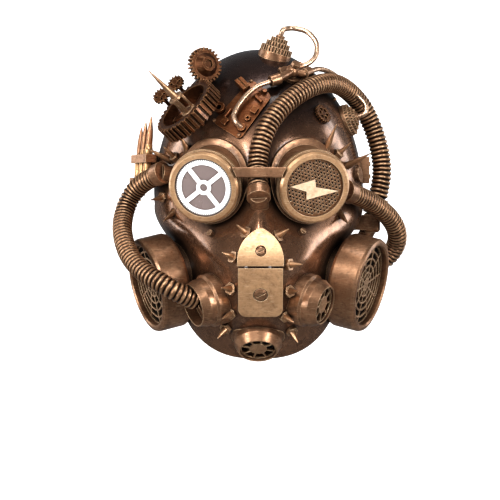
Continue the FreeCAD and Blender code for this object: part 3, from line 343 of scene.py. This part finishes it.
def smooth_line(name, route):
    """Points of the smooth spline that a route in millimetres steers."""
    curve = bpy.data.curves.new(name + "_line", "CURVE")
    curve.dimensions = "3D"
    curve.resolution_u = 48
    spline = curve.splines.new("NURBS")
    spline.points.add(len(route) - 1)
    for point, place in zip(spline.points, route):
        point.co = (*(Vector(place) * MM), 1)
    spline.order_u = 3
    spline.use_endpoint_u = True
    holder = link(bpy.data.objects.new(name + "_line", curve))
    mesh = bpy.data.meshes.new_from_object(holder)
    line = [vertex.co.copy() for vertex in mesh.vertices]
    bpy.data.objects.remove(holder)
    bpy.data.meshes.remove(mesh)
    return line


def resampled(line, count):
    """count + 1 points evenly spaced along a line."""
    reach = [0.0]
    for a, b in zip(line, line[1:]):
        reach.append(reach[-1] + (b - a).length)
    points, k = [], 0
    for i in range(count + 1):
        goal = reach[-1] * i / count
        while k < len(line) - 2 and reach[k + 1] < goal:
            k += 1
        points.append(line[k].lerp(line[k + 1], (goal - reach[k]) / (reach[k + 1] - reach[k])))
    return points, reach[-1]


def carried_frames(points):
    """Tangent and two side directions at each point, carried along without twist."""
    tangents = [(points[min(i + 1, len(points) - 1)] - points[max(i - 1, 0)]).normalized()
                for i in range(len(points))]
    side = tangents[0].orthogonal().normalized()
    frames = []
    for tangent in tangents:
        side = (side - tangent * side.dot(tangent)).normalized()
        frames.append((tangent, side, tangent.cross(side)))
    return frames


def rib_profile(phase):
    """0 between two ribs, 1 on a rib: a round crest and a narrow valley."""
    return abs(math.sin(math.pi * phase)) ** 0.62


def corrugated(name, route, node):
    line = smooth_line(name, route)
    _, length = resampled(line, 8)
    ribs = round((length - 2 * CUFF) / RIB_PITCH)
    points, length = resampled(line, round(ribs * RIB_STEPS * length / (length - 2 * CUFF)))
    count = len(points) - 1
    mesh = bpy.data.meshes.new(name)
    bm = bmesh.new()
    crest_layer = bm.verts.layers.float.new("crest")
    rings = []
    for i, (point, (_, side, up)) in enumerate(zip(points, carried_frames(points))):
        place = length * i / count
        inside = min(max((place - CUFF) / (length - 2 * CUFF), 0.0), 1.0)
        crest = rib_profile(inside * ribs)
        radius = VALLEY_R + (CREST_R - VALLEY_R) * crest
        ring = []
        for k in range(AROUND):
            angle = 2 * math.pi * k / AROUND
            vertex = bm.verts.new(point + (side * math.cos(angle) + up * math.sin(angle)) * radius)
            vertex[crest_layer] = crest
            ring.append(vertex)
        rings.append(ring)
    for first, second in zip(rings, rings[1:]):
        for k in range(AROUND):
            bm.faces.new((first[k], first[(k + 1) % AROUND], second[(k + 1) % AROUND], second[k]))
    bm.faces.new(reversed(rings[0]))
    bm.faces.new(rings[-1])
    bmesh.ops.recalc_face_normals(bm, faces=bm.faces)
    for face in bm.faces:
        face.smooth = True
    bm.to_mesh(mesh)
    bm.free()
    mesh.materials.append(hose_bronze)
    hose = link(bpy.data.objects.new(name, mesh))
    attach(hose, "mask")
    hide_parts(node)
    return hose


corrugated("brow_hose", brow_route, "hose_brow")
corrugated("cheek_hose", cheek_route, "hose_cheek_right")
corrugated("chin_hose", chin_route, "hose_chin_left")

# ---------------------------------------------------------------- elastic strap
strap_low, strap_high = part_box("head_strap")
STRAP_HALF_THICK = 0.6 * MM
STRAP_STRAIGHT = 40 * MM
STRAP_INSET = 0.7 * MM


def strap_line(steps=140):
    """Middle line of the elastic: straight beside the head, elliptical round the back."""
    half = strap_high.x - STRAP_INSET
    depth = strap_high.y - STRAP_INSET - STRAP_STRAIGHT
    start = strap_low.y + 0.3 * MM
    turns = [math.pi * k / steps for k in range(steps + 1)]
    arc = [Vector((half * math.cos(turn), STRAP_STRAIGHT + depth * math.sin(turn), 0)) for turn in turns]
    sides = [Vector((half, start + (STRAP_STRAIGHT - start) * k / 30, 0)) for k in range(30)]
    other = [Vector((-p.x, p.y, 0)) for p in reversed(sides)]
    return sides + arc + other


def make_strap():
    middle = (strap_low.z + strap_high.z) / 2
    half_width = (strap_high.z - strap_low.z) / 2 - 0.2 * MM
    line = strap_line()
    ribs = 16
    bm = bmesh.new()
    along_layer = bm.verts.layers.float.new("along")
    across_layer = bm.verts.layers.float.new("across")
    columns, run = [], 0.0
    for i, point in enumerate(line):
        if i:
            run += (point - line[i - 1]).length
        ahead = (line[min(i + 1, len(line) - 1)] - line[max(i - 1, 0)]).normalized()
        out = ahead.cross(Vector((0, 0, 1)))
        column = []
        for face in (1, -1):
            for k in range(4 * ribs + 1):
                share = (k / (4 * ribs) * 2 - 1) * face
                swell = 0.86 + 0.14 * abs(math.cos(math.pi * ribs * (share + 1) / 2))
                edge = math.sqrt(max(1 - abs(share) ** 14, 0.0))
                wave = 0.10 * MM * math.sin(run / (7 * MM)) * math.cos(share * 2)
                vertex = bm.verts.new(point + out * (face * STRAP_HALF_THICK * swell * edge + wave)
                                      + Vector((0, 0, middle + half_width * share)))
                vertex[along_layer] = run / MM
                vertex[across_layer] = share * half_width / MM
                column.append(vertex)
        columns.append(column)
    size = len(columns[0])
    for first, second in zip(columns, columns[1:]):
        for k in range(size):
            bm.faces.new((first[k], first[(k + 1) % size], second[(k + 1) % size], second[k]))
    bm.faces.new(reversed(columns[0]))
    bm.faces.new(columns[-1])
    bmesh.ops.remove_doubles(bm, verts=bm.verts, dist=1e-7)
    bmesh.ops.recalc_face_normals(bm, faces=bm.faces)
    for face in bm.faces:
        face.smooth = True
    mesh = bpy.data.meshes.new("woven_strap")
    bm.to_mesh(mesh)
    bm.free()
    mesh.materials.append(elastic)
    strap = link(bpy.data.objects.new("woven_strap", mesh))
    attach(strap, "mask")
    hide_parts("head_strap")


make_strap()

# ---------------------------------------------------------------- foam pads
def soft_pad(name, node):
    """The CAD pad's own form, remeshed and crowned: full in the middle, pulled in at its edges."""
    source = nodes[node]
    mesh = source.data.copy()
    mesh.name = name
    pad = link(bpy.data.objects.new(name, mesh))
    remesh = pad.modifiers.new("remesh", "REMESH")
    remesh.mode = "VOXEL"
    remesh.voxel_size = 1.6 * MM
    relax = pad.modifiers.new("relax", "SMOOTH")
    relax.factor, relax.iterations = 0.8, 12
    graph = bpy.context.evaluated_depsgraph_get()
    graph.update()
    baked = bpy.data.meshes.new_from_object(pad.evaluated_get(graph))
    pad.modifiers.clear()
    pad.data = baked
    baked.materials.clear()
    baked.materials.append(pad_foam)
    for polygon in baked.polygons:
        polygon.use_smooth = True
    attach(pad, "mask")
    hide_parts(node)


soft_pad("brow_pad", "forehead_pad")
soft_pad("cheekbone_pads", "temple_pads")

# ---------------------------------------------------------------- studio
scene.view_settings.view_transform = "Standard"
scene.view_settings.look = "Medium High Contrast"
FLOOR_Z = -0.32
SWEEP_START = 0.9
SWEEP_R = 0.9


def make_sweep():
    """Pale floor that curves up into a plain backdrop."""
    profile = [(-4.0, 0.0), (SWEEP_START, 0.0)]
    profile += [(SWEEP_START + SWEEP_R * math.sin(a), SWEEP_R * (1 - math.cos(a)))
                for a in (math.pi / 2 * k / 16 for k in range(1, 17))]
    profile.append((SWEEP_START + SWEEP_R, 4.0))
    bm = bmesh.new()
    rows = [[bm.verts.new((x, y, FLOOR_Z + z)) for x in (-5.0, 5.0)] for y, z in profile]
    for first, second in zip(rows, rows[1:]):
        bm.faces.new((first[0], first[1], second[1], second[0]))
    for face in bm.faces:
        face.smooth = True
    mesh = bpy.data.meshes.new("sweep")
    bm.to_mesh(mesh)
    bm.free()
    s = Shader("sweep")
    mesh.materials.append(s.finish(Base_Color=(0.86, 0.86, 0.86, 1), Roughness=0.9,
                                   Emission_Color=(1, 1, 1, 1), Emission_Strength=0.6))
    sweep = link(bpy.data.objects.new("sweep", mesh))
    sweep.visible_glossy = False


def softbox(name, place, target, width, height, power):
    data = bpy.data.lights.new(name, "AREA")
    data.shape, data.size, data.size_y, data.energy = "RECTANGLE", width, height, power
    lamp = link(bpy.data.objects.new(name, data))
    lamp.location = place
    lamp.rotation_euler = (Vector(target) - Vector(place)).to_track_quat("-Z", "Y").to_euler()


make_sweep()
softbox("key", (-0.35, -1.45, 0.75), (0, 0, 0), 0.6, 0.4, 20)
softbox("fill", (1.05, -1.15, 0.20), (0, 0, -0.02), 0.24, 1.0, 17)
softbox("fill_left", (-1.15, -0.95, 0.10), (0, 0, -0.02), 0.24, 1.0, 15)
softbox("top", (0.1, -0.3, 1.3), (0, 0, 0.05), 0.7, 0.5, 8)
softbox("left_edge", (-1.2, 0.45, 0.2), (0, 0, 0), 0.4, 1.0, 6)
softbox("right_edge", (1.2, 0.45, 0.2), (0, 0, 0), 0.4, 1.0, 6)
scene.world = bpy.data.worlds.new("studio")
scene.world.use_nodes = True
scene.world.node_tree.nodes["Background"].inputs["Color"].default_value = (0.9, 0.92, 0.95, 1)
scene.world.node_tree.nodes["Background"].inputs["Strength"].default_value = 0.17
